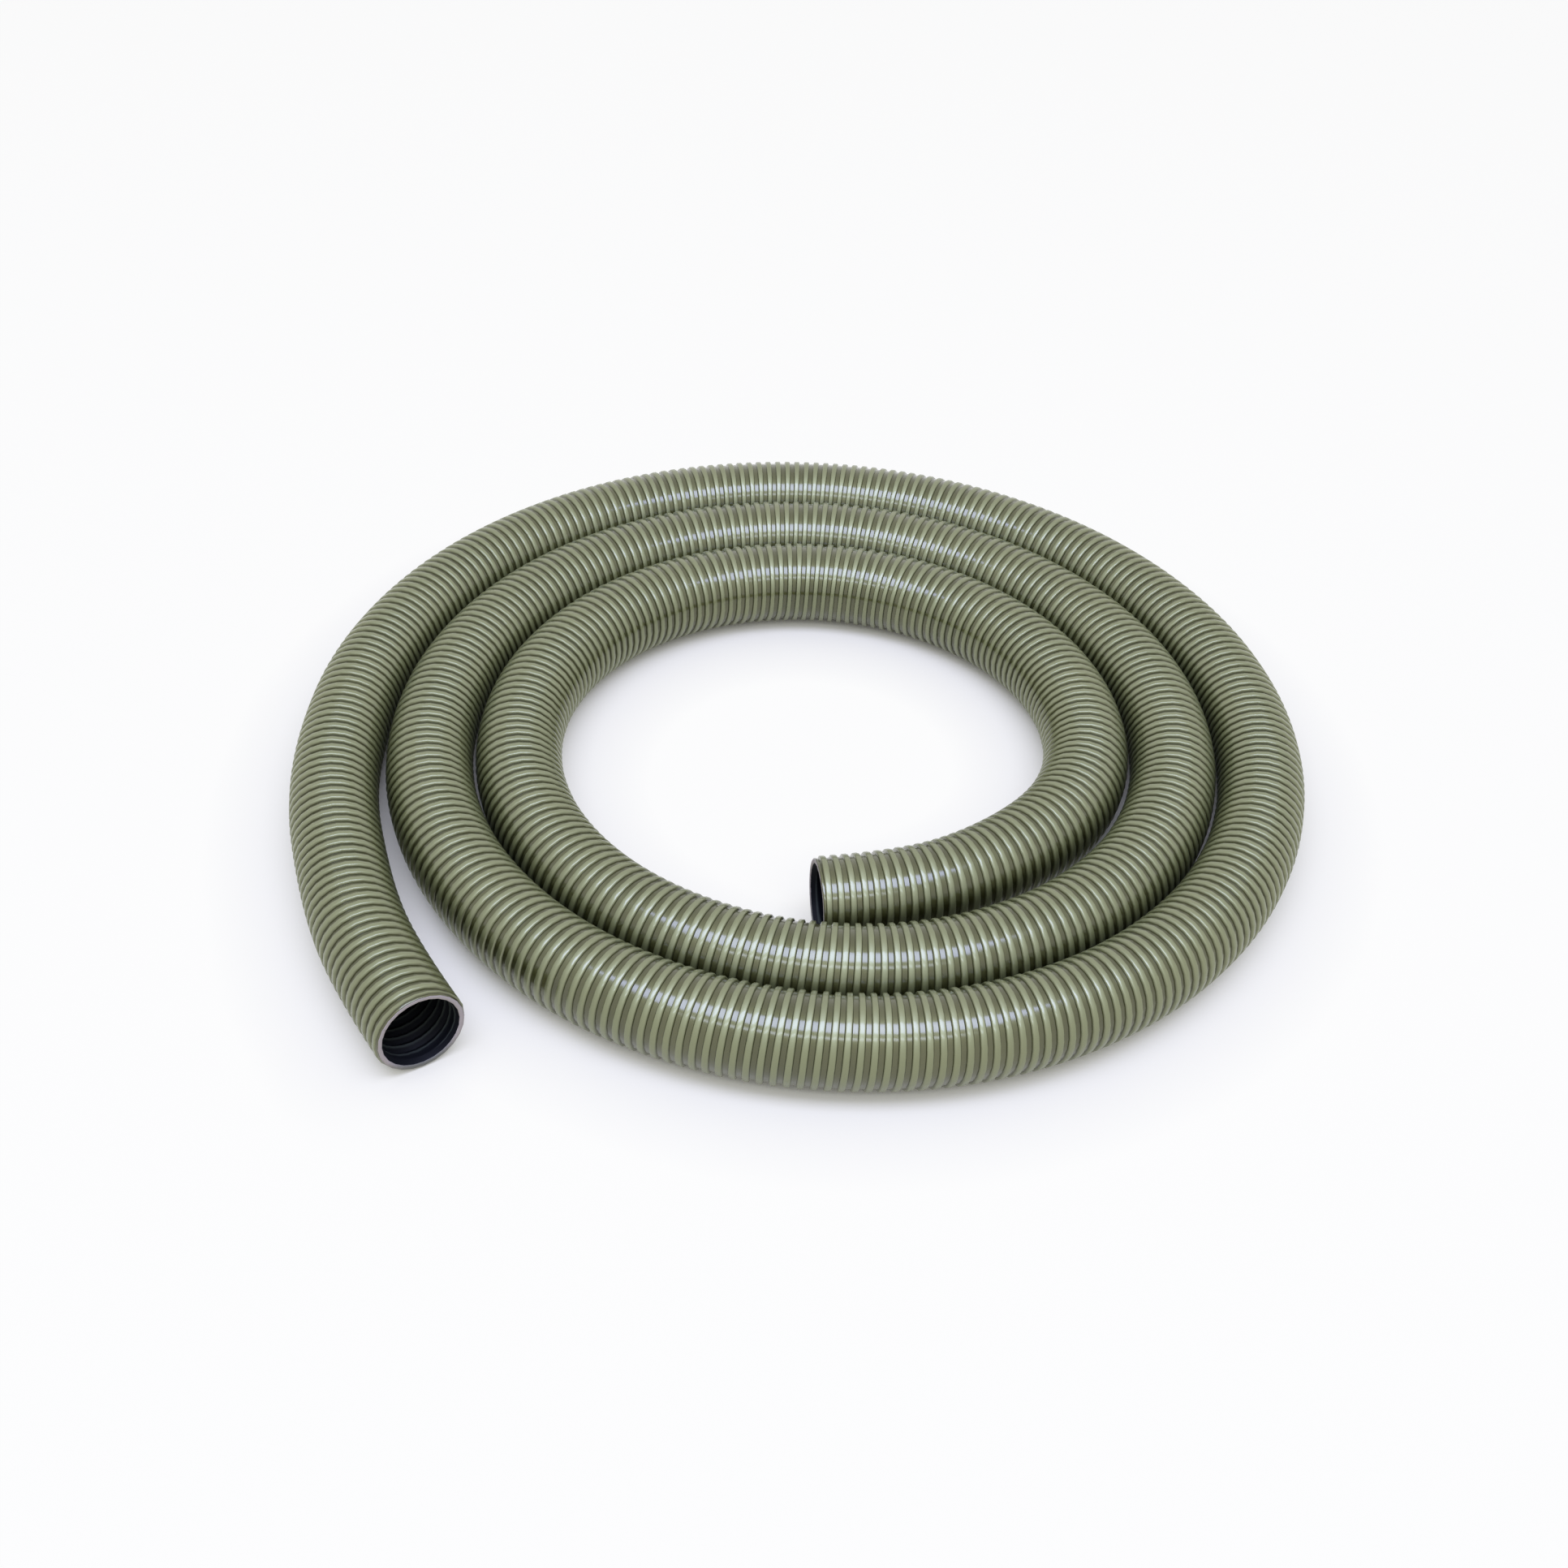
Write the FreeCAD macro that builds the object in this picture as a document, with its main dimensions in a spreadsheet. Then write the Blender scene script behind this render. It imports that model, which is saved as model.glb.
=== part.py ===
"""Suction hose: one bare length of round hose, lying flat as a loose spiral, both ends cut square.

The hose is a single plain tube. Its centre line is a list of corners joined by straight runs with
a tangent arc at every corner. Round the coil the corners lie on a spiral that moves in by one hose
diameter and a clearance each turn, so neighbouring turns lie side by side. At each end a few
chosen corners lead the hose off that spiral: the outer end swings out and away from the coil, and
the inner end straightens until its mouth lies against the turn outside it.

Millimetres, +Z up, the hose lying on z = 0 with the middle of its footprint at the origin.
"""
import FreeCAD, Part
import math
import os

from FreeCAD import Placement, Rotation, Vector

# Driving sizes: cell alias, value, meaning
SIZES = [
    ("outer_diameter", 40.0, "hose over the crests of its ribs"),
    ("wall", 4.0, "crests of the ribs to the clear bore"),
    ("turn_clearance", 1.0, "air between neighbouring turns"),
    ("coil_radius", 226.6, "coil centre to centre line, where the outer end leaves the coil"),
    ("coil_start", 192.0, "direction of that place from the coil centre, degrees from +X"),
    ("turn_corners", 15, "corners of the route in one turn"),
    ("coil_runs", 38, "straight runs from there to where the inner end leaves the coil"),
]

# Corners of the two free ends, chosen by hand: degrees past the coil's last corner on that side,
# and how far outside the line of the spiral the corner stands. The last of each list is a mouth.
OUTER_END_DEGREES = [19.5, 30.5, 40.0]
OUTER_END_LIFTS = [9.5, 17.5, 25.5]
INNER_END_DEGREES = [22.0, 45.5, 69.5, 91.0]
INNER_END_LIFTS = [0.5, -4.5, -3.0, 0.0]

# The arc at a corner takes this share of the shorter run beside it
ARC_SHARE = 0.45


def size_sheet(doc):
    """The spreadsheet of driving sizes, one row each: name, value, meaning."""
    sheet = doc.addObject("Spreadsheet::Sheet", "Sizes")
    for row, (alias, value, meaning) in enumerate(SIZES, start=1):
        sheet.set(f"A{row}", alias)
        sheet.set(f"B{row}", str(value))
        sheet.setAlias(f"B{row}", alias)
        sheet.set(f"C{row}", meaning)
    doc.recompute()
    return sheet


def polar(radius, degrees, height):
    """A point at this radius and direction from the coil centre."""
    angle = math.radians(degrees)
    return Vector(radius * math.cos(angle), radius * math.sin(angle), height)


def route_corners(sheet):
    """Corners of the centre line, from the outer mouth to the inner one, about the coil centre."""
    height = sheet.outer_diameter / 2
    turn_pitch = sheet.outer_diameter + sheet.turn_clearance
    step = 360.0 / sheet.turn_corners
    runs = int(sheet.coil_runs)

    def spiral_radius(degrees):
        """Radius of the spiral this many degrees in from its outer start."""
        return sheet.coil_radius - turn_pitch * degrees / 360.0

    # A corner stands outside the curve that the runs beside it touch
    corner_factor = 1.0 / math.cos(math.radians(step / 2))

    corners = []
    for past, lift in zip(reversed(OUTER_END_DEGREES), reversed(OUTER_END_LIFTS)):
        corners.append(polar(spiral_radius(-past) + lift, sheet.coil_start + past, height))
    for k in range(runs + 1):
        radius = spiral_radius(k * step) * corner_factor
        corners.append(polar(radius, sheet.coil_start - k * step, height))
    for past, lift in zip(INNER_END_DEGREES, INNER_END_LIFTS):
        turned = runs * step + past
        corners.append(polar(spiral_radius(turned) + lift, sheet.coil_start - turned, height))
    return corners


def rounded_wire(corners):
    """Straight runs through the corners with a tangent arc at each, and the arcs' radii."""
    edges, radii = [], []
    here = corners[0]
    for before, corner, after in zip(corners, corners[1:], corners[2:]):
        inward = corner - before
        onward = after - corner
        half_turn = inward.getAngle(onward) / 2
        cut = ARC_SHARE * min(inward.Length, onward.Length)
        radius = cut / math.tan(half_turn)
        inward.normalize()
        onward.normalize()
        start = corner - inward * cut
        end = corner + onward * cut
        to_centre = onward - inward
        to_centre.normalize()
        middle = corner + to_centre * (radius / math.cos(half_turn) - radius)
        edges.append(Part.LineSegment(here, start).toShape())
        edges.append(Part.Arc(start, middle, end).toShape())
        radii.append(radius)
        here = end
    edges.append(Part.LineSegment(here, corners[-1]).toShape())
    return Part.Wire(edges), radii


def section(doc, name, radius, corners):
    """A circle square across the outer mouth, its radius an expression of the sheet's cells."""
    circle = doc.addObject("Part::Circle", name)
    circle.setExpression("Radius", radius)
    along = corners[1] - corners[0]
    circle.Placement = Placement(corners[0], Rotation(Vector(0, 0, 1), along))
    return circle


def swept(doc, name, circle, route):
    """The circle carried along every edge of the route as a solid."""
    sweep = doc.addObject("Part::Sweep", name)
    sweep.Sections = [circle]
    sweep.Spine = (route, [f"Edge{i + 1}" for i in range(len(route.Shape.Edges))])
    sweep.Solid = True
    sweep.Frenet = False
    return sweep


def check(doc, parts):
    """Stop if any feature failed or a sub-part has no sound solid."""
    for item in doc.Objects:
        if "Invalid" in item.State or "Error" in item.State:
            raise RuntimeError(f"{item.Label} failed to compute")
    for part in parts:
        shape = part.Shape
        if shape.isNull() or not shape.isValid() or len(shape.Solids) != 1:
            raise RuntimeError(f"{part.Label} is not one valid solid")


doc = FreeCAD.newDocument("SuctionHose")
sizes = size_sheet(doc)

# The centre line
corners = route_corners(sizes)
wire, arc_radii = rounded_wire(corners)
route = doc.addObject("Part::Feature", "route")
route.Shape = wire

# The tube: the outside less the bore, both carried along the same route
outside_section = section(doc, "outside_section", "Sizes.outer_diameter / 2", corners)
bore_section = section(doc, "bore_section", "Sizes.outer_diameter / 2 - Sizes.wall", corners)
doc.recompute()
outside = swept(doc, "outside", outside_section, route)
bore = swept(doc, "bore", bore_section, route)
hose = doc.addObject("Part::Cut", "hose")
hose.Base = outside
hose.Tool = bore
hose.Label = "hose"
doc.recompute()
check(doc, [hose])

# The middle of the footprint goes to the origin
footprint = hose.Shape.optimalBoundingBox(False)
middle = Vector(footprint.Center.x, footprint.Center.y, 0)
hose.Placement = Placement(-middle, Rotation())
doc.recompute()
check(doc, [hose])

# The tube's volume against its section times its length, and the tightest bends
wall_section = math.pi * (sizes.outer_diameter - sizes.wall) * sizes.wall
print(f"length of the centre line {wire.Length:.1f} mm")
print(f"volume over section times length {hose.Shape.Volume / (wall_section * wire.Length):.6f}")
print("arc radii in mm:", ", ".join(f"{radius:.0f}" for radius in arc_radii))
for label, mouth, inside, run in (
    ("outer", corners[0], corners[1], wire.Edges[0]),
    ("inner", corners[-1], corners[-2], wire.Edges[-1]),
):
    outward = (mouth - inside).normalize()
    place = mouth - middle
    print(f"{label} mouth at {place.x:.3f}, {place.y:.3f}, {place.z:.3f} mm")
    print(f"  facing {outward.x:.6f}, {outward.y:.6f}, with a straight bore of {run.Length:.2f} mm")

os.makedirs("parts", exist_ok=True)
hose.Shape.exportStep(f"parts/{hose.Label}.step")
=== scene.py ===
"""Looks of the suction hose: a corrugated tube lying in a loose spiral, and its stage.

The hose is one closed surface carried along one smooth line: the ribbed outside, the cut rims at
both mouths and the ridged bore. Metres, +Z up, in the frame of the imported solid.
"""

import math

import bmesh
import bpy
import numpy as np
from bpy.props import FloatProperty, FloatVectorProperty, IntProperty, PointerProperty
from bpy.types import Operator, Panel, PropertyGroup
from mathutils import Matrix, Vector


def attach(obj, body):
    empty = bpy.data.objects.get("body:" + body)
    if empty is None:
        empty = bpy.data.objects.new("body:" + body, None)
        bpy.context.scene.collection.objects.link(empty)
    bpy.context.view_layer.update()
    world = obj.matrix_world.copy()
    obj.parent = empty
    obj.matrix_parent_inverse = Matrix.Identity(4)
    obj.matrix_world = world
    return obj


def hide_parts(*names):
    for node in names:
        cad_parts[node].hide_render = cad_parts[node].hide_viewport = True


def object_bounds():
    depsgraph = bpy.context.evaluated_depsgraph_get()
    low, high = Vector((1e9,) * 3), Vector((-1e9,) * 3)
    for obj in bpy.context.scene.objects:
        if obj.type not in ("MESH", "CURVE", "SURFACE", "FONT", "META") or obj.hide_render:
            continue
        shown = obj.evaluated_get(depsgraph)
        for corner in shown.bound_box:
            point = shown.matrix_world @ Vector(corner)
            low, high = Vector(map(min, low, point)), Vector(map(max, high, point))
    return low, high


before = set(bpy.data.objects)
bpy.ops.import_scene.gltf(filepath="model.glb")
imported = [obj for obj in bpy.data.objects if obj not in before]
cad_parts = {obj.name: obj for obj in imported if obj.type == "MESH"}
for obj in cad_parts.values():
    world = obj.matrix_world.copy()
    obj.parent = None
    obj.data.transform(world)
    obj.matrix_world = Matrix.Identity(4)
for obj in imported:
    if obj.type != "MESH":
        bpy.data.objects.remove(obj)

bl_info = {
    "name": "Suction hose",
    "version": (1, 0, 0),
    "blender": (4, 5, 0),
    "location": "3D View > Sidebar > Hose",
    "description": "Builds a coiled corrugated suction hose and the stage it is shown on",
    "category": "Add Mesh",
}

# The solid's box, and the tube's diameter from its height
CAD_BOX = [list(corner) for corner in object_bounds()]
TUBE_DIAMETER = CAD_BOX[1][2] - CAD_BOX[0][2]

# The picture is square, so its width sets the lens
PICTURE_PIXELS = 1932
SENSOR_WIDTH = 36.0

# Points of the two free ends: degrees past the coil's last point on that side, and
# how far outside the line of the spiral the point stands. The last of each list is a mouth.
OUTER_END_DEGREES = [19.5, 30.5, 40.0]
OUTER_END_LIFTS = [0.0095, 0.0175, 0.0255]
INNER_END_DEGREES = [22.0, 45.5, 69.5, 91.0]
INNER_END_LIFTS = [0.0005, -0.0045, -0.003, 0.0]

# A rib's section from the middle of its crest to the middle of a groove: shares of a pitch, and
# the shares of the groove's depth there
RIB_SHARES = np.array([0.0, 0.17, 0.23, 0.31, 0.5])
RIB_DROPS = np.array([0.0, 0.0, 0.12, 1.0, 1.0])

# Rows of vertices along each rib, and along each ridge of the bore: shares of a pitch from the
# middle of a crest
RIB_LINES = np.array([-0.23, -0.17, 0.17, 0.23, 0.31, 0.69])
RIDGE_LINES = np.array([-0.2, 0.0, 0.2, 0.5])

# The bore's ridges begin this many collar widths from a mouth and fade out over this many pitches
THROAT_LIPS = 2
RIDGE_FADE_PITCHES = 4

# Share of the collar's width that stands level, and rings of the plain bore between the ridges
COLLAR_SHARE = 0.8
PLAIN_RINGS = 70

# Points of the smooth line for each of its corners
LINE_STEPS = 32

# Vertices nearer than this are one, and edges that turn by more than this are sharp
MERGE_DISTANCE = 2e-5
SHARP_ANGLE = math.radians(50)

# Material slots of the hose
SKIN, RIM, BORE = range(3)

# Kinds of noise in the plastics: patches to a metre, how many finer sizes each has, their strength
SKIN_CLOUD = {"Scale": 26.0, "Detail": 3.0, "Roughness": 0.55}
SKIN_GRAIN = {"Scale": 1400.0, "Detail": 2.0, "Roughness": 0.6}
KNIFE_MARKS = {"Scale": 900.0, "Detail": 4.0, "Roughness": 0.6}
BORE_CLOUD = {"Scale": 160.0, "Detail": 3.0, "Roughness": 0.5}

# Clouds in the skin: their tint of the crests' colour, the noise from which they show, and how much
CLOUD_TINT = (1.02, 0.95, 0.84)
CLOUD_START = 0.35
CLOUD_SHARE = 0.5

# How far the grain moves the skin's roughness; strength and height of its bumps
GRAIN_ROUGHNESS = 0.08
GRAIN_BUMPS = (0.12, 0.0002)

# The cut plastic: its colour's share where the knife marked it, roughness, and the marks' bumps
KNIFE_SHADE = 0.78
RIM_ROUGHNESS = 0.55
KNIFE_BUMPS = (0.25, 0.0003)

# Height below which the cut plastic takes the full painted shade, and how ragged the shade's edge
# is
SHADE_FLOOR = 0.004
SHADE_RAGGED = 0.004

# Shares of a hollow at which the ridges' lighter colour, painted light on the ridge tops, ends and
# is full, and how ragged its edge is
LIT_RIDGE_END = 0.45
LIT_RIDGE_FULL = 0.1
LIT_RIDGE_RAGGED = 0.3

# The bore's least roughness, what the clouds add, and how little it mirrors
BORE_ROUGHNESS = 0.5
BORE_CLOUD_ROUGHNESS = 0.14
BORE_SPECULAR = 0.12

# Half the floor's width, and how finely the nearness of the object is sampled on it
FLOOR_REACH = 12.0
NEARNESS_SAMPLES = 8

# The lamps hang level above the floor: middle, width and depth, and tint of each
KEY_PLACE = (0.0, -0.6, 2.1)
KEY_SIZE = (2.4, 0.95)
KEY_TINT = (0.53, 0.58, 1.0)
FRONT_PLACE = (0.0, -1.75, 2.1)
FRONT_SIZE = (2.4, 0.35)
FRONT_TINT = (0.74, 0.8, 1.0)

WHITE = (1.0, 1.0, 1.0, 1.0)


class HoseRoute(PropertyGroup):
    """Where the hose lies: the same corners as its solid's centre line."""

    centre: FloatVectorProperty(
        name="Coil Centre", description="Middle of the coil on the floor",
        default=(0.01018, -0.010334), size=2, unit="LENGTH", subtype="XYZ",
    )
    coil_radius: FloatProperty(
        name="Coil Radius",
        description="Coil centre to centre line, where the outer end leaves the coil",
        default=0.2266, min=0.1, unit="LENGTH",
    )
    turn_clearance: FloatProperty(
        name="Turn Clearance", description="Air between neighbouring turns",
        default=0.001, min=0.0, unit="LENGTH",
    )
    coil_start: FloatProperty(
        name="Coil Start",
        description="Degrees from +X to the place where the outer end leaves the coil",
        default=192.0,
    )
    turn_corners: IntProperty(
        name="Corners in a Turn", description="Points of the line in one turn", default=15, min=12,
    )
    coil_runs: IntProperty(
        name="Coil Runs", description="Runs between the two free ends", default=38, min=12,
    )


class HoseSection(PropertyGroup):
    """The tube's section and its ribs."""

    diameter: FloatProperty(
        name="Diameter", description="Over the crests of the ribs",
        default=TUBE_DIAMETER, min=0.01, unit="LENGTH",
    )
    wall: FloatProperty(
        name="Wall", description="Crests of the ribs to the clear bore",
        default=0.004, min=0.001, unit="LENGTH",
    )
    rib_pitch: FloatProperty(
        name="Rib Pitch", description="One rib to the next along the hose",
        default=0.0051, min=0.002, unit="LENGTH",
    )
    groove_depth: FloatProperty(
        name="Groove Depth", description="Crest to the floor of the groove",
        default=0.0011, min=0.0, unit="LENGTH",
    )
    ridge_depth: FloatProperty(
        name="Ridge Depth", description="Height of the ridges inside the bore",
        default=0.0016, min=0.0, unit="LENGTH",
    )
    ridged_length: FloatProperty(
        name="Ridged Length", description="Depth from a mouth to which the bore's ridges are made",
        default=0.22, min=0.02, unit="LENGTH",
    )
    lip: FloatProperty(
        name="Lip", description="Width of the plain collar at a cut mouth",
        default=0.0013, min=0.0002, unit="LENGTH",
    )
    lip_drop: FloatProperty(
        name="Lip Drop", description="Crest of the ribs to the collar",
        default=0.0008, min=0.0, unit="LENGTH",
    )
    mouth_flare: FloatProperty(
        name="Mouth Flare", description="How much wider in radius the bore is where it is cut",
        default=0.001, min=0.0, unit="LENGTH",
    )
    rim_bevel: FloatProperty(
        name="Rim Bevel", description="Rounding of the cut edges",
        default=0.0003, min=0.0, unit="LENGTH",
    )
    segments: IntProperty(
        name="Segments", description="Faces round the tube", default=24, min=12,
    )


class HoseFinish(PropertyGroup):
    """Colours and gloss of the moulded plastic."""

    crest_colour: FloatVectorProperty(
        name="Crests", description="Colour of the ribs' crests",
        default=(0.232, 0.251, 0.136), size=3, subtype="COLOR", min=0.0, max=1.0,
    )
    # The grooves' darker colour is painted shade, standing in for the shade that falls in them
    groove_shade_colour: FloatVectorProperty(
        name="Grooves", description="Colour of the floors between ribs",
        default=(0.07, 0.073, 0.022), size=3, subtype="COLOR", min=0.0, max=1.0,
    )
    rim_colour: FloatVectorProperty(
        name="Cut Rim", description="Colour of the cut plastic at the mouths",
        default=(0.62, 0.54, 0.46), size=3, subtype="COLOR", min=0.0, max=1.0,
    )
    # The darker colour towards the floor is painted shade on the lower part of the cut rim
    painted_shade_colour: FloatVectorProperty(
        name="Painted Shade", description="Colour of the cut plastic near the floor",
        default=(0.2, 0.2, 0.16), size=3, subtype="COLOR", min=0.0, max=1.0,
    )
    painted_shade_height: FloatProperty(
        name="Dirt Height", description="Height above the floor where the cut plastic is clean",
        default=0.015, min=0.001, unit="LENGTH",
    )
    # The ridges' lighter colour is painted light on the ridge tops; the bore's own colour is
    # near-black
    painted_ridge_light: FloatVectorProperty(
        name="Bore Ridges", description="Colour of the ridges inside the hose",
        default=(0.06, 0.07, 0.058), size=3, subtype="COLOR", min=0.0, max=1.0,
    )
    bore_colour: FloatVectorProperty(
        name="Bore", description="Colour between the ridges",
        default=(0.008, 0.009, 0.011), size=3, subtype="COLOR", min=0.0, max=1.0,
    )
    metallic: FloatProperty(
        name="Metallic", description="How metallic the skin's sheen is",
        default=1.0, min=0.0, max=1.0, subtype="FACTOR",
    )
    crest_roughness: FloatProperty(
        name="Crest Roughness", description="Roughness of the ribs' crests",
        default=0.52, min=0.0, max=1.0, subtype="FACTOR",
    )
    groove_roughness: FloatProperty(
        name="Groove Roughness", description="Roughness of the grooves",
        default=0.4, min=0.0, max=1.0, subtype="FACTOR",
    )
    coat_roughness: FloatProperty(
        name="Coat Roughness", description="Roughness of the clear surface over the pigment",
        default=0.14, min=0.0, max=1.0, subtype="FACTOR",
    )
    coat_ior: FloatProperty(
        name="Coat IOR", description="Refractive index of the clear surface",
        default=1.7, min=1.0,
    )
    crest_coat: FloatProperty(
        name="Crest Coat", description="Strength of the clear surface on the crests",
        default=0.65, min=0.0, max=1.0, subtype="FACTOR",
    )
    groove_coat: FloatProperty(
        name="Groove Coat", description="Strength of the clear surface in the grooves",
        default=0.9, min=0.0, max=1.0, subtype="FACTOR",
    )


class StageLook(PropertyGroup):
    """Camera, lamps and floor."""

    look_at: FloatVectorProperty(
        name="Look At", description="Place on the floor at the middle of the picture",
        default=(-0.00866, -0.01961, 0.0), size=3, unit="LENGTH", subtype="XYZ",
    )
    elevation: FloatProperty(
        name="Elevation", description="Camera above the horizon", default=math.radians(39.45),
        subtype="ANGLE", unit="ROTATION",
    )
    distance: FloatProperty(
        name="Distance", description="Camera to the place it looks at",
        default=1.0049, min=0.1, unit="LENGTH",
    )
    roll: FloatProperty(
        name="Roll", description="Turn of the camera about its view", default=math.radians(3.16),
        subtype="ANGLE", unit="ROTATION",
    )
    focal_pixels: FloatProperty(
        name="Focal Length", description="Focal length in pixels of the picture",
        default=2601.0, min=100.0,
    )
    floor_colour: FloatVectorProperty(
        name="Floor", description="Colour of the floor",
        default=(0.95, 0.9, 0.68), size=3, subtype="COLOR", min=0.0, max=1.0,
    )
    floor_glow: FloatProperty(
        name="Floor Glow",
        description="Share of plain white in the open floor, as the camera or the object sees it",
        default=0.93, min=0.0, max=1.0, subtype="FACTOR",
    )
    # Near the object the floor's white fades with nearness: painted shade over the matt floor's own
    # shadow, wider in what the hose mirrors
    contact_reach: FloatProperty(
        name="Contact Reach", description="How far from the object the floor loses its plain white",
        default=0.045, min=0.001, unit="LENGTH",
    )
    mirrored_reach: FloatProperty(
        name="Mirrored Reach",
        description="How far from the object the floor that it mirrors loses its plain white",
        default=0.2, min=0.001, unit="LENGTH",
    )
    sky_strength: FloatProperty(
        name="Sky Strength", description="Even light from all round", default=0.12, min=0.0,
    )
    key_power: FloatProperty(
        name="Key Power", description="Large lamp above the coil's front, in watts",
        default=54.0, min=0.0,
    )
    front_power: FloatProperty(
        name="Front Power", description="Long lamp further in front, in watts",
        default=14.0, min=0.0,
    )


def polar(centre, radius, degrees, height):
    """The point at this radius and direction from the coil's centre."""
    angle = math.radians(degrees)
    return (centre[0] + radius * math.cos(angle), centre[1] + radius * math.sin(angle), height)


def route_points(route, section):
    """Points of the hose's line from the outer mouth to the inner one.

    Round the coil they lie on a spiral whose radius falls by one diameter and the clearance each
    turn, a little outside it because the line cuts inside its points. The ends' points are the
    listed ones above.
    """
    height = section.diameter / 2
    turn_pitch = section.diameter + route.turn_clearance
    step = 360.0 / route.turn_corners
    corner_factor = 1.0 / math.cos(math.radians(step / 2))

    def spiral_radius(degrees):
        """Radius of the spiral this many degrees in from its outer start."""
        return route.coil_radius - turn_pitch * degrees / 360.0

    points = []
    for past, lift in zip(reversed(OUTER_END_DEGREES), reversed(OUTER_END_LIFTS)):
        radius = spiral_radius(-past) + lift
        points.append(polar(route.centre, radius, route.coil_start + past, height))
    for k in range(route.coil_runs + 1):
        radius = spiral_radius(k * step) * corner_factor
        points.append(polar(route.centre, radius, route.coil_start - k * step, height))
    for past, lift in zip(INNER_END_DEGREES, INNER_END_LIFTS):
        turned = route.coil_runs * step + past
        radius = spiral_radius(turned) + lift
        points.append(polar(route.centre, radius, route.coil_start - turned, height))
    return points


def spline_line(points):
    """Closely spaced points along the smooth NURBS line that these points control."""
    curve = bpy.data.curves.new("hose_line", "CURVE")
    curve.dimensions = "3D"
    spline = curve.splines.new("NURBS")
    spline.points.add(len(points) - 1)
    weighted = np.column_stack([points, np.ones(len(points))])
    spline.points.foreach_set("co", weighted.ravel())
    spline.order_u = 3
    spline.use_endpoint_u = True
    spline.resolution_u = LINE_STEPS
    holder = bpy.data.objects.new("hose_line", curve)
    mesh = bpy.data.meshes.new_from_object(holder)
    line = np.empty(len(mesh.vertices) * 3)
    mesh.vertices.foreach_get("co", line)
    bpy.data.meshes.remove(mesh)
    bpy.data.objects.remove(holder)
    bpy.data.curves.remove(curve)
    return line.reshape(-1, 3)


class TubeLine:
    """The hose's line by distance along it, with the direction across it.

    The line is flat, so the frame of its section is the level direction across it and +Z.
    """

    def __init__(self, points):
        steps = np.linalg.norm(np.diff(points, axis=0), axis=1)
        self.points = points
        self.distances = np.concatenate([[0.0], np.cumsum(steps)])
        self.length = self.distances[-1]
        along = np.gradient(points, self.distances, axis=0)
        along /= np.linalg.norm(along, axis=1)[:, None]
        self.along = along

    def sample(self, table, distance):
        """Rows of a table, between its points, at these distances."""
        columns = [np.interp(distance, self.distances, column) for column in table.T]
        return np.stack(columns, axis=-1)

    def surface(self, distance, turn, radius):
        """The line's point, plus radius times (cosine of the turn across, sine of the turn up)."""
        centre = self.sample(self.points, distance)
        along = self.sample(self.along, distance)
        along /= np.linalg.norm(along, axis=-1, keepdims=True)
        up = np.array([0.0, 0.0, 1.0])
        across = np.cross(along, up)
        angle = 2 * np.pi * turn
        reach = np.cos(angle)[..., None] * across + np.sin(angle)[..., None] * up
        return centre + radius[..., None] * reach


def smooth(value):
    """Rises from 0 to 1 as value does, level at both ends: value squared times (3 - 2 value)."""
    held = np.clip(value, 0.0, 1.0)
    return held * held * (3.0 - 2.0 * held)


def rib_phase(distance, turn, pitch):
    """Share of a pitch from the middle of the nearest crest; the ribs advance one pitch a turn."""
    phase = distance / pitch - turn
    return phase - np.round(phase)


def groove_share(phase):
    """0 over a crest and 1 over the floor of a groove, along the rib's section between."""
    return np.interp(np.abs(phase), RIB_SHARES, RIB_DROPS)


def skin_radius(section, phase):
    """Crest radius, less the groove's share of its depth."""
    return section.diameter / 2 - section.groove_depth * groove_share(phase)


def hollow_share(phase):
    """1 in the middle of a hollow of the bore, under a crest, and 0 on a ridge: a cosine wave."""
    return 0.5 + 0.5 * np.cos(2 * np.pi * phase)


def clear_radius(section):
    """Radius of the bore inside its ridges: the crests' radius less the wall."""
    return section.diameter / 2 - section.wall


def bore_radius(section, length, distance, phase):
    """Clear radius, plus hollows between ridges that fade in behind a mouth and out further on."""
    depth = np.minimum(distance, length - distance)
    fade_in = smooth((depth - THROAT_LIPS * section.lip) / section.rib_pitch)
    fade_out = smooth((section.ridged_length - depth) / (RIDGE_FADE_PITCHES * section.rib_pitch))
    return clear_radius(section) + section.ridge_depth * hollow_share(phase) * fade_in * fade_out


def helix_grid(section, lines, start, end):
    """Distances and turns of rows that follow the ribs' helix between two distances.

    A row is one line of the rib's section: distance = (rib + line's share + turn) times pitch, as
    turn goes from 0 to 1. Rows that leave the band are held at its edge, where they meet.
    """
    first = math.floor(start / section.rib_pitch) - 2
    last = math.ceil(end / section.rib_pitch) + 2
    rows = (np.arange(first, last)[:, None] + lines[None, :]).ravel()
    turn = np.linspace(0.0, 1.0, section.segments + 1)
    distance = np.clip((rows[:, None] + turn[None, :]) * section.rib_pitch, start, end)
    return distance, np.broadcast_to(turn, distance.shape)


def ring_grid(section, distances):
    """Distances and turns of plain rings."""
    turn = np.linspace(0.0, 1.0, section.segments + 1)
    distance = np.repeat(np.asarray(distances)[:, None], len(turn), axis=1)
    return distance, np.broadcast_to(turn, distance.shape)


def grid_faces(shape, first, outwards):
    """Corner numbers of the four-sided faces between rows of a grid, turned to face outwards."""
    index = np.arange(shape[0] * shape[1]).reshape(shape) + first
    corners = [index[:-1, :-1], index[1:, :-1], index[1:, 1:], index[:-1, 1:]]
    if not outwards:
        corners.reverse()
    return np.stack(corners, axis=-1).reshape(-1, 4)


def skin_bands(section, length):
    """The ribbed outside, between the collars."""
    distance, turn = helix_grid(section, RIB_LINES, section.lip, length - section.lip)
    phase = rib_phase(distance, turn, section.rib_pitch)
    return [(distance, turn, skin_radius(section, phase), groove_share(phase), SKIN, True)]


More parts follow.
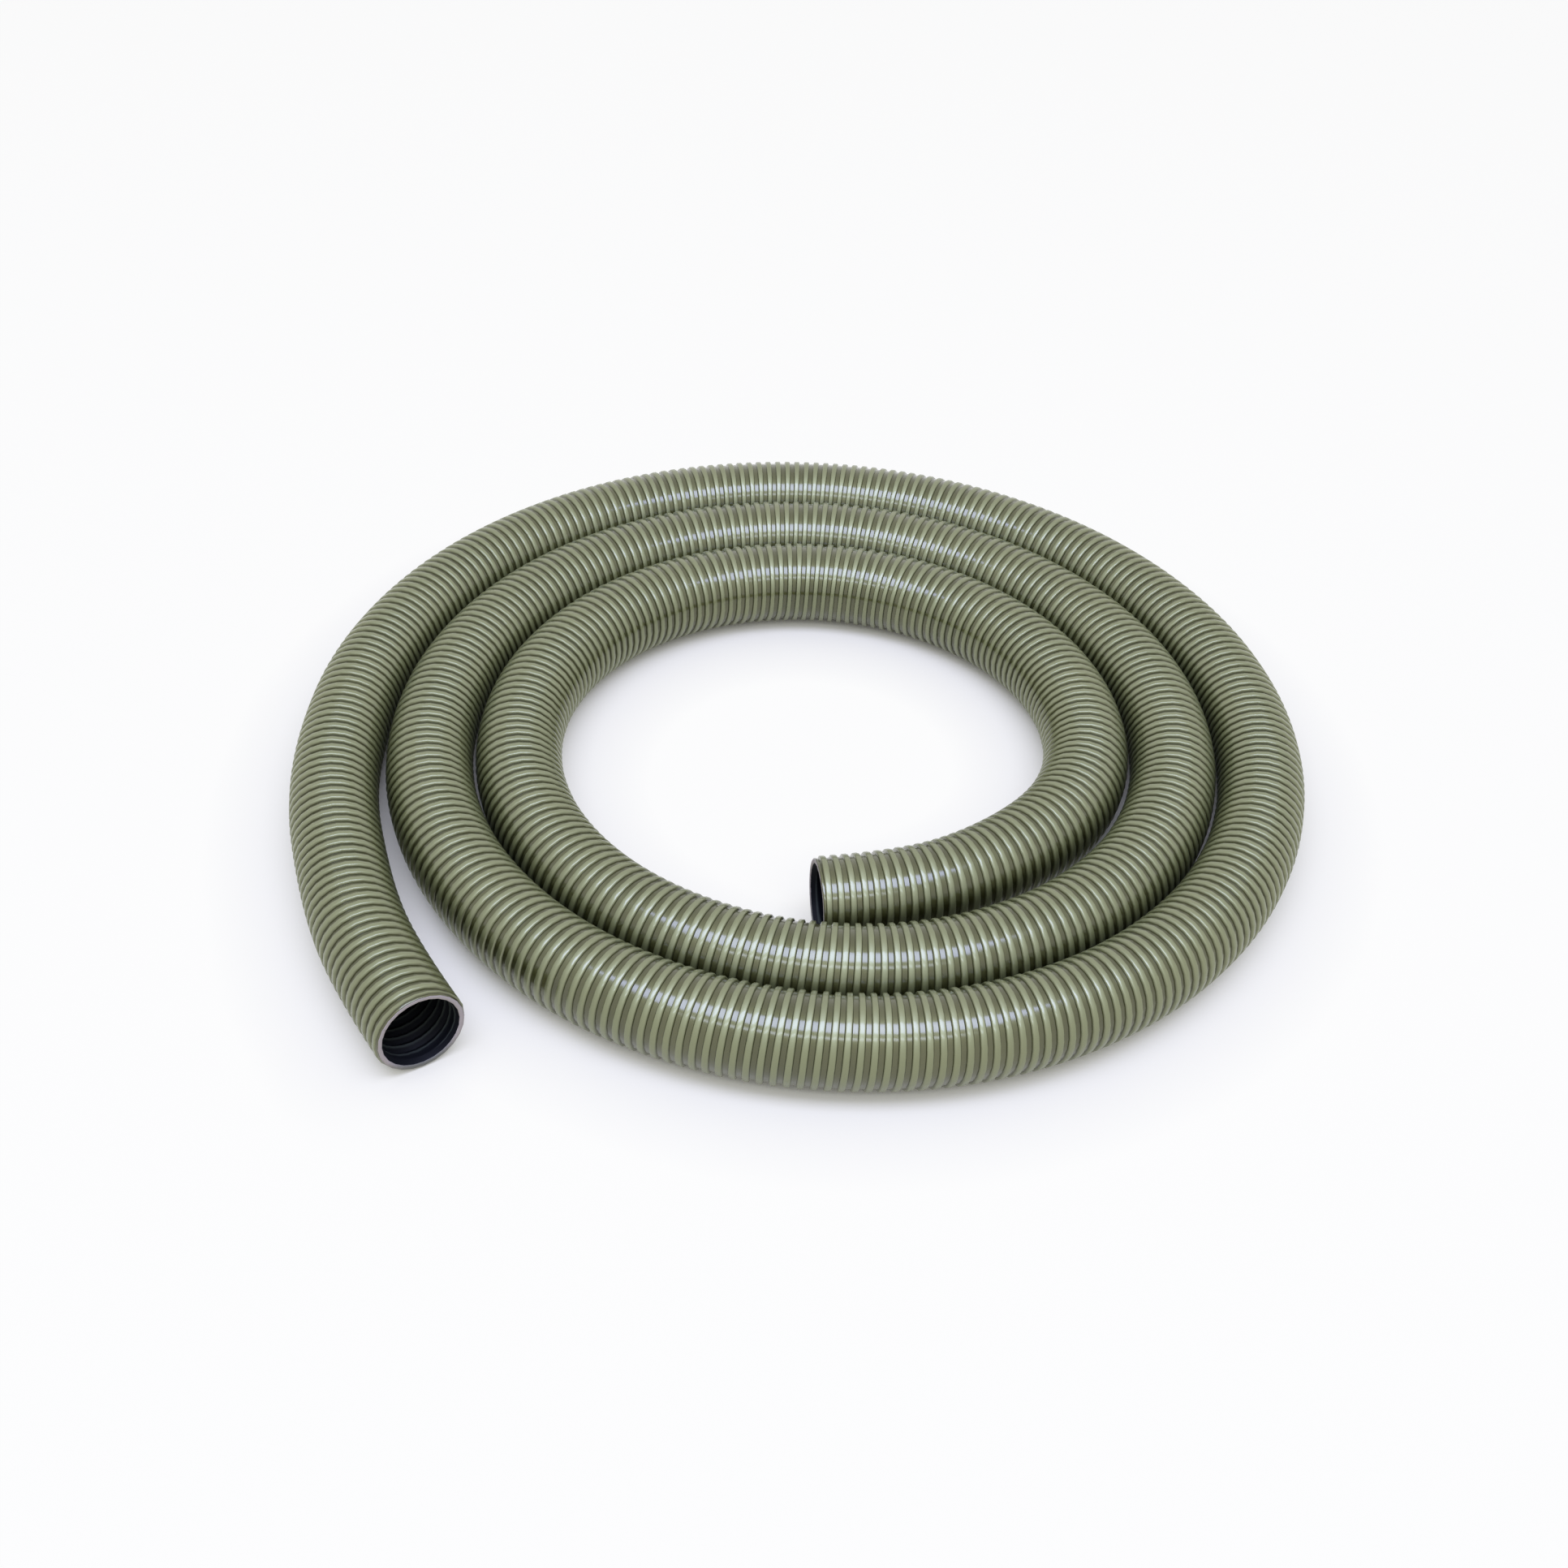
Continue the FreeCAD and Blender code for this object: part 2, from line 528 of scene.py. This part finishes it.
def bore_bands(section, length):
    """The ridged bore behind each mouth, and plain rings between."""
    near = THROAT_LIPS * section.lip
    deep = section.ridged_length
    bands = []
    for start, end in ((near, deep), (length - deep, length - near)):
        distance, turn = helix_grid(section, RIDGE_LINES, start, end)
        phase = rib_phase(distance, turn, section.rib_pitch)
        radius = bore_radius(section, length, distance, phase)
        bands.append((distance, turn, radius, hollow_share(phase), BORE, False))
    distance, turn = ring_grid(section, np.linspace(deep, length - deep, PLAIN_RINGS))
    radius = np.full(distance.shape, clear_radius(section))
    bands.append((distance, turn, radius, np.ones(distance.shape), BORE, False))
    return bands


def mouth_bands(section, length):
    """The collar, the cut rim and the flared edge of the bore at each mouth.

    Each row of these is a ring: its distance from the mouth and its radius, with None for the
    radius of the ribs there.
    """
    cut = section.diameter / 2 - section.lip_drop
    clear = clear_radius(section)
    flared = clear + section.mouth_flare
    bevel = section.rim_bevel
    lip = section.lip
    collar = [(lip, None), (COLLAR_SHARE * lip, cut), (bevel, cut), (0.0, cut - bevel)]
    face = [(0.0, cut - bevel), (0.0, flared + bevel), (bevel, flared)]
    throat = [(bevel, flared), (lip, flared), (THROAT_LIPS * lip, clear)]
    bands = []
    for mouth, sense in ((0.0, 1.0), (length, -1.0)):
        for rows, slot in ((collar, SKIN), (face, RIM), (throat, BORE)):
            distance, turn = ring_grid(section, [mouth + sense * depth for depth, _ in rows])
            phase = rib_phase(distance, turn, section.rib_pitch)
            radius = np.stack([
                skin_radius(section, phase[i]) if given is None else np.full(turn.shape[1], given)
                for i, (_, given) in enumerate(rows)
            ])
            groove = np.ones(distance.shape)
            if slot == SKIN:
                groove[0] = groove_share(phase[0])
            bands.append((distance, turn, radius, groove, slot, sense < 0))
    return bands


def hose_mesh(name, line, section):
    """The closed mesh of the hose, its bands joined where their edges meet.

    A band is a grid of distances, turns, radii and groove shares, with its material slot and
    whether it faces outwards. Each vertex is the line's point at its distance plus its radius
    towards its turn. The UV map holds distance in pitches and the turn, and an attribute holds the
    share of a groove outside, and of a hollow between ridges inside.
    """
    length = line.length
    bands = skin_bands(section, length) + bore_bands(section, length) + mouth_bands(section, length)
    places, faces, slots, grooves, maps = [], [], [], [], []
    first = 0
    for distance, turn, radius, groove, slot, outwards in bands:
        quads = grid_faces(distance.shape, first, outwards)
        faces.append(quads)
        slots.append(np.full(len(quads), slot))
        places.append(line.surface(distance, turn, radius).reshape(-1, 3))
        grooves.append(groove.ravel())
        maps.append(np.stack([distance / section.rib_pitch, turn], axis=-1).reshape(-1, 2))
        first += distance.size
    faces = np.concatenate(faces)
    maps = np.concatenate(maps)

    mesh = bpy.data.meshes.new(name)
    mesh.from_pydata(np.concatenate(places), [], faces)
    mesh.polygons.foreach_set("material_index", np.concatenate(slots))
    groove_layer = mesh.attributes.new("groove", "FLOAT", "POINT")
    groove_layer.data.foreach_set("value", np.concatenate(grooves))
    uv_layer = mesh.uv_layers.new(name="along_hose")
    uv_layer.uv.foreach_set("vector", maps[faces.ravel()].ravel())

    joined = bmesh.new()
    joined.from_mesh(mesh)
    bmesh.ops.remove_doubles(joined, verts=joined.verts, dist=MERGE_DISTANCE)
    bmesh.ops.recalc_face_normals(joined, faces=joined.faces)
    joined.to_mesh(mesh)
    joined.free()
    mesh.polygons.foreach_set("use_smooth", np.ones(len(mesh.polygons), bool))
    mesh.set_sharp_from_angle(angle=SHARP_ANGLE)
    mesh.update()
    return mesh


class Signal:
    """A node's output that reads as a number: each operator adds its Math node."""

    def __init__(self, nodes, socket):
        self.nodes = nodes
        self.socket = socket

    def maths(self, operation, first, second):
        """The output of a Math node on two numbers or signals."""
        made = self.nodes.add("ShaderNodeMath", {"operation": operation}, {0: first, 1: second})
        return made.out(0)

    def __add__(self, other):
        return self.maths("ADD", self, other)

    __radd__ = __add__

    def __sub__(self, other):
        return self.maths("SUBTRACT", self, other)

    def __rsub__(self, other):
        return self.maths("SUBTRACT", other, self)

    def __mul__(self, other):
        return self.maths("MULTIPLY", self, other)

    __rmul__ = __mul__


class Added:
    """A node that was added, with its outputs as signals."""

    def __init__(self, nodes, node):
        self.nodes = nodes
        self.node = node

    def out(self, name):
        """The output with this number, name or identifier."""
        return Signal(self.nodes, find_socket(self.node.outputs, name))


def find_socket(sockets, name):
    """The socket with this number, or else this identifier or name."""
    if isinstance(name, int):
        return sockets[name]
    for socket in sockets:
        if name in (socket.identifier, socket.name):
            return socket
    raise KeyError(f"no socket named {name}")


class Nodes:
    """Adds nodes to one node tree."""

    def __init__(self, tree):
        self.tree = tree
        tree.nodes.clear()

    def add(self, kind, settings=None, inputs=None):
        """A node of this type: its settings first, then the values or links of its inputs."""
        node = self.tree.nodes.new(kind)
        for name, value in (settings or {}).items():
            setattr(node, name, value)
        for name, value in (inputs or {}).items():
            socket = find_socket(node.inputs, name)
            if isinstance(value, Signal):
                self.tree.links.new(value.socket, socket)
            else:
                socket.default_value = value
        return Added(self, node)

    def mix(self, factor, first, second):
        """The first colour, going over to the second as the factor goes from 0 to 1."""
        inputs = {"Factor_Float": factor, "A_Color": first, "B_Color": second}
        return self.add("ShaderNodeMix", {"data_type": "RGBA"}, inputs).out("Result_Color")

    def ramp(self, value, start, end):
        """0 where the value is at the start, 1 at the end, level at both: as smooth does."""
        inputs = {"Value": value, "From Min": start, "From Max": end}
        settings = {"interpolation_type": "SMOOTHSTEP"}
        return self.add("ShaderNodeMapRange", settings, inputs).out("Result")


def opaque(colour):
    """A colour with full alpha."""
    return (*colour, 1.0)


def start_material(name):
    """A new material and its nodes."""
    material = bpy.data.materials.new(name)
    material.use_nodes = True
    return material, Nodes(material.node_tree)


def finish_plastic(nodes, inputs):
    """One plastic shader with these inputs, as the material's surface."""
    shader = nodes.add("ShaderNodeBsdfPrincipled", {}, inputs).out("BSDF")
    nodes.add("ShaderNodeOutputMaterial", {}, {"Surface": shader})


def noise(nodes, place, kind):
    """Noise of one of the kinds above at these coordinates, mostly near 0.5."""
    return nodes.add("ShaderNodeTexNoise", {}, {"Vector": place, **kind}).out("Fac")


def bumps(nodes, height, strength, distance):
    """Normals of a fine relief: a height of 1 stands this distance proud."""
    inputs = {"Strength": strength, "Distance": distance, "Height": height}
    return nodes.add("ShaderNodeBump", {}, inputs).out("Normal")


def skin_material(finish):
    """Satin olive plastic with a metallic sheen; the grooves get a darker colour, painted shade,
    under more clear surface.
    """
    material, nodes = start_material("satin_olive_plastic")
    groove = nodes.add("ShaderNodeAttribute", {"attribute_name": "groove"}).out("Fac")
    place = nodes.add("ShaderNodeTexCoord").out("Object")
    cloud = noise(nodes, place, SKIN_CLOUD)
    grain = noise(nodes, place, SKIN_GRAIN)
    # The darker colour towards the grooves is painted shade
    shade = nodes.mix(groove, opaque(finish.crest_colour), opaque(finish.groove_shade_colour))
    warm = [level * tint for level, tint in zip(finish.crest_colour, CLOUD_TINT)]
    colour = nodes.mix((cloud - CLOUD_START) * CLOUD_SHARE, shade, opaque(warm))
    spread = finish.groove_roughness - finish.crest_roughness
    roughness = finish.crest_roughness + spread * groove + (grain - 0.5) * GRAIN_ROUGHNESS
    coat = finish.crest_coat + (finish.groove_coat - finish.crest_coat) * groove
    finish_plastic(nodes, {
        "Base Color": colour, "Roughness": roughness, "Metallic": finish.metallic,
        "Normal": bumps(nodes, grain, *GRAIN_BUMPS), "Coat Weight": coat,
        "Coat Roughness": finish.coat_roughness, "Coat IOR": finish.coat_ior,
    })
    return material


def rim_material(finish):
    """Pale cut plastic with the faint marks of the knife, darkened towards the floor by painted
    shade.
    """
    material, nodes = start_material("cut_plastic")
    place = nodes.add("ShaderNodeTexCoord").out("Object")
    marks = noise(nodes, place, KNIFE_MARKS)
    darker = [KNIFE_SHADE * level for level in finish.rim_colour]
    marked = nodes.mix(marks, opaque(finish.rim_colour), opaque(darker))
    height = nodes.add("ShaderNodeSeparateXYZ", {}, {"Vector": place}).out("Z")
    # Painted shade: the cut rim darkens towards the floor
    unshaded = nodes.ramp(height + SHADE_RAGGED * marks, SHADE_FLOOR, finish.painted_shade_height)
    finish_plastic(nodes, {
        "Base Color": nodes.mix(unshaded, opaque(finish.painted_shade_colour), marked),
        "Roughness": RIM_ROUGHNESS, "Normal": bumps(nodes, marks, *KNIFE_BUMPS),
    })
    return material


def bore_material(finish):
    """Near-black plastic with a dull gloss; its ridge tops are a lighter greenish grey, painted
    light.
    """
    material, nodes = start_material("black_bore_plastic")
    place = nodes.add("ShaderNodeTexCoord").out("Object")
    cloud = noise(nodes, place, BORE_CLOUD)
    hollow = nodes.add("ShaderNodeAttribute", {"attribute_name": "groove"}).out("Fac")
    # Painted light: the ridge tops are lighter than the near-black hollows
    lit_ridges = nodes.ramp(hollow + (cloud - 0.5) * LIT_RIDGE_RAGGED, LIT_RIDGE_END, LIT_RIDGE_FULL)
    finish_plastic(nodes, {
        "Base Color": nodes.mix(lit_ridges, opaque(finish.bore_colour), opaque(finish.painted_ridge_light)),
        "Roughness": BORE_ROUGHNESS + BORE_CLOUD_ROUGHNESS * cloud,
        "Specular IOR Level": BORE_SPECULAR,
    })
    return material


def seen_ray(nodes):
    """1 for rays that show the background: the camera's, mirrored and transmitted ones."""
    path = nodes.add("ShaderNodeLightPath")
    either = path.out("Is Camera Ray") + path.out("Is Glossy Ray") + path.out("Is Transmission Ray")
    return nodes.add("ShaderNodeClamp", {}, {"Value": either}).out("Result")


def openness(nodes, reach):
    """1 on the open floor, falling towards an object that stands within this reach."""
    settings = {"samples": NEARNESS_SAMPLES}
    return nodes.add("ShaderNodeAmbientOcclusion", settings, {"Distance": reach}).out("AO")


def floor_material(look):
    """Pale matt floor that shows mostly as plain white; near the object the white fades with
    nearness, painted shade, and the matt floor's own shadow shows there.
    """
    material, nodes = start_material("pale_floor")
    matt = nodes.add("ShaderNodeBsdfDiffuse", {}, {"Color": opaque(look.floor_colour)}).out("BSDF")
    white = nodes.add("ShaderNodeEmission", {}, {"Color": WHITE, "Strength": 1.0}).out(0)
    path = nodes.add("ShaderNodeLightPath")
    seen = path.out("Is Camera Ray") * openness(nodes, look.contact_reach)
    passing = path.out("Is Glossy Ray") + path.out("Is Transmission Ray")
    # Painted shade: the floor's white fades near the object, further out in mirrored rays
    glow = look.floor_glow * (seen + passing * openness(nodes, look.mirrored_reach))
    mixed = nodes.add("ShaderNodeMixShader", {}, {0: glow, 1: matt, 2: white}).out(0)
    nodes.add("ShaderNodeOutputMaterial", {}, {"Surface": mixed})
    return material


def aim(place, target, roll):
    """A matrix that stands at a place and looks at a target, turned about its view by the roll."""
    back = (place - target).normalized()
    right = Vector((0.0, 0.0, 1.0)).cross(back).normalized()
    up = back.cross(right)
    rolled_right = math.cos(roll) * right + math.sin(roll) * up
    rolled_up = math.cos(roll) * up - math.sin(roll) * right
    turned = Matrix((rolled_right, rolled_up, back)).transposed()
    return Matrix.Translation(place) @ turned.to_4x4()


def add_lamp(name, place, size, power, tint):
    """A rectangular lamp that hangs level at a place and shines straight down."""
    data = bpy.data.lights.new(name, "AREA")
    data.shape = "RECTANGLE"
    data.size, data.size_y = size
    data.energy = power
    data.color = tint
    lamp = bpy.data.objects.new(name, data)
    lamp.location = place
    bpy.context.scene.collection.objects.link(lamp)


class MakeCamera(Operator):
    """Stand the camera where the picture was taken from"""

    bl_idname = "suction_hose.make_camera"
    bl_label = "Camera"

    def execute(self, context):
        look = context.scene.hose_stage
        data = bpy.data.cameras.new("camera")
        data.sensor_width = SENSOR_WIDTH
        data.lens = SENSOR_WIDTH * look.focal_pixels / PICTURE_PIXELS
        camera = bpy.data.objects.new("camera", data)
        away = Vector((0.0, -math.cos(look.elevation), math.sin(look.elevation)))
        target = Vector(look.look_at)
        camera.matrix_world = aim(target + look.distance * away, target, look.roll)
        context.scene.collection.objects.link(camera)
        context.scene.camera = camera
        return {"FINISHED"}


class MakeHose(Operator):
    """Build the hose: ribbed skin, cut rims and ridged bore along its smooth line"""

    bl_idname = "suction_hose.make_hose"
    bl_label = "Hose"

    def execute(self, context):
        scene = context.scene
        section = scene.hose_section
        finish = scene.hose_finish
        line = TubeLine(spline_line(route_points(scene.hose_route, section)))
        mesh = hose_mesh("corrugated_hose", line, section)
        for material in (skin_material(finish), rim_material(finish), bore_material(finish)):
            mesh.materials.append(material)
        hose = bpy.data.objects.new("corrugated_hose", mesh)
        scene.collection.objects.link(hose)
        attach(hose, "root")
        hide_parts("hose")
        return {"FINISHED"}


class MakeStage(Operator):
    """Lay the floor and set the lamps and the even light round the object"""

    bl_idname = "suction_hose.make_stage"
    bl_label = "Stage"

    def execute(self, context):
        look = context.scene.hose_stage
        mesh = bpy.data.meshes.new("floor")
        signs = ((-1.0, -1.0), (1.0, -1.0), (1.0, 1.0), (-1.0, 1.0))
        corners = [(FLOOR_REACH * x, FLOOR_REACH * y, 0.0) for x, y in signs]
        mesh.from_pydata(corners, [], [(0, 1, 2, 3)])
        mesh.materials.append(floor_material(look))
        floor = bpy.data.objects.new("floor", mesh)
        context.scene.collection.objects.link(floor)

        world = bpy.data.worlds.new("studio")
        world.use_nodes = True
        context.scene.world = world
        nodes = Nodes(world.node_tree)
        strength = look.sky_strength + (1.0 - look.sky_strength) * seen_ray(nodes)
        inputs = {"Color": WHITE, "Strength": strength}
        sky = nodes.add("ShaderNodeBackground", {}, inputs).out(0)
        nodes.add("ShaderNodeOutputWorld", {}, {"Surface": sky})

        add_lamp("key", KEY_PLACE, KEY_SIZE, look.key_power, KEY_TINT)
        add_lamp("front", FRONT_PLACE, FRONT_SIZE, look.front_power, FRONT_TINT)
        context.scene.view_settings.view_transform = "Standard"
        return {"FINISHED"}


class HosePanel(Panel):
    """The hose's makers and their sizes, in the 3D view's sidebar"""

    bl_idname = "VIEW3D_PT_suction_hose"
    bl_label = "Suction Hose"
    bl_space_type = "VIEW_3D"
    bl_region_type = "UI"
    bl_category = "Hose"

    def draw(self, context):
        for maker in MAKERS:
            self.layout.operator(maker.bl_idname)
        for group in GROUPS:
            settings = getattr(context.scene, group)
            box = self.layout.box()
            for name in settings.__annotations__:
                box.prop(settings, name)


MAKERS = (MakeCamera, MakeHose, MakeStage)
GROUPS = {
    "hose_route": HoseRoute,
    "hose_section": HoseSection,
    "hose_finish": HoseFinish,
    "hose_stage": StageLook,
}


def register():
    """Register the classes and hang the settings on the scene."""
    for cls in (*GROUPS.values(), *MAKERS, HosePanel):
        bpy.utils.register_class(cls)
    for name, cls in GROUPS.items():
        setattr(bpy.types.Scene, name, PointerProperty(type=cls))


def unregister():
    """Take the settings and the classes away again."""
    for name in GROUPS:
        delattr(bpy.types.Scene, name)
    for cls in (HosePanel, *reversed(MAKERS), *reversed(GROUPS.values())):
        bpy.utils.unregister_class(cls)


def main():
    """Build everything in order."""
    register()
    bpy.ops.suction_hose.make_camera()
    bpy.ops.suction_hose.make_hose()
    bpy.ops.suction_hose.make_stage()


if __name__ == "__main__":
    main()
